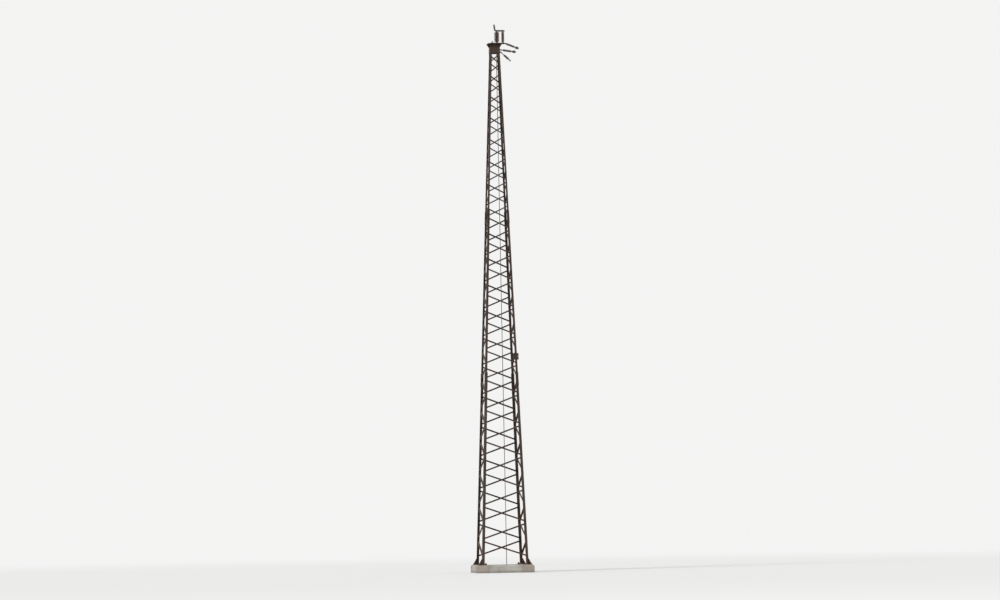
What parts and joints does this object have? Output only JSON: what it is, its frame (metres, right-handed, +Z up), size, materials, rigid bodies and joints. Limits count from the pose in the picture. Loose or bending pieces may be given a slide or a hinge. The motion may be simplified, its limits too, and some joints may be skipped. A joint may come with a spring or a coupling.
{
  "type": "railway catenary mast",
  "caption": "Tall square lattice mast tapering to a plated head, braced by zigzag angle bars, with post insulators on an outrigger and insulated ends for span wires.",
  "frame": {"origin": "middle of the plinth's underside, at ground level", "axes": "+Z up, +X across the tracks towards the span wires, +Y along the tracks"},
  "size_m": [2.63, 2.63, 25.3661],
  "materials": {
    "mast_steel": "weathered dark paint with rust",
    "galvanised_fittings": "dull weathered galvanising",
    "bus_bar": "dull and sooty",
    "brown_glaze": "glossy brown glaze, dusty",
    "plinth_concrete": "rough cast concrete"
  },
  "bodies": {
    "root": {"foundation_plinth": "plinth_concrete", "shoe_front_left": "mast_steel", "shoe_front_right": "mast_steel", "shoe_back_right": "mast_steel", "shoe_back_left": "mast_steel", "lower_leg_front_left": "mast_steel", "lower_leg_front_right": "mast_steel", "lower_leg_back_right": "mast_steel", "lower_leg_back_left": "mast_steel", "lower_lacing_front": "mast_steel", "lower_lacing_right": "mast_steel", "lower_lacing_back": "mast_steel", "lower_lacing_left": "mast_steel", "middle_leg_front_left": "mast_steel", "middle_leg_front_right": "mast_steel", "middle_leg_back_right": "mast_steel", "middle_leg_back_left": "mast_steel", "middle_lacing_front": "mast_steel", "middle_lacing_right": "mast_steel", "middle_lacing_back": "mast_steel", "middle_lacing_left": "mast_steel", "upper_leg_front_left": "mast_steel", "upper_leg_front_right": "mast_steel", "upper_leg_back_right": "mast_steel", "upper_leg_back_left": "mast_steel", "upper_lacing_front": "mast_steel", "upper_lacing_right": "mast_steel", "upper_lacing_back": "mast_steel", "upper_lacing_left": "mast_steel", "lower_splice_covers": "mast_steel", "middle_splice_covers": "mast_steel", "head_plate_front": "mast_steel", "head_plate_right": "mast_steel", "head_plate_back": "mast_steel", "head_plate_left": "mast_steel", "head_cap": "mast_steel", "outrigger": "mast_steel", "side_wire_plate": "mast_steel", "post_feet": "galvanised_fittings", "post_saddles": "galvanised_fittings", "span_forks": "galvanised_fittings", "wire_clamps": "galvanised_fittings", "earth_strip": "galvanised_fittings", "link_bar": "bus_bar", "inner_post_insulator": "brown_glaze", "outer_post_insulator": "brown_glaze", "span_insulators": "brown_glaze"}
  },
  "joints": []
}
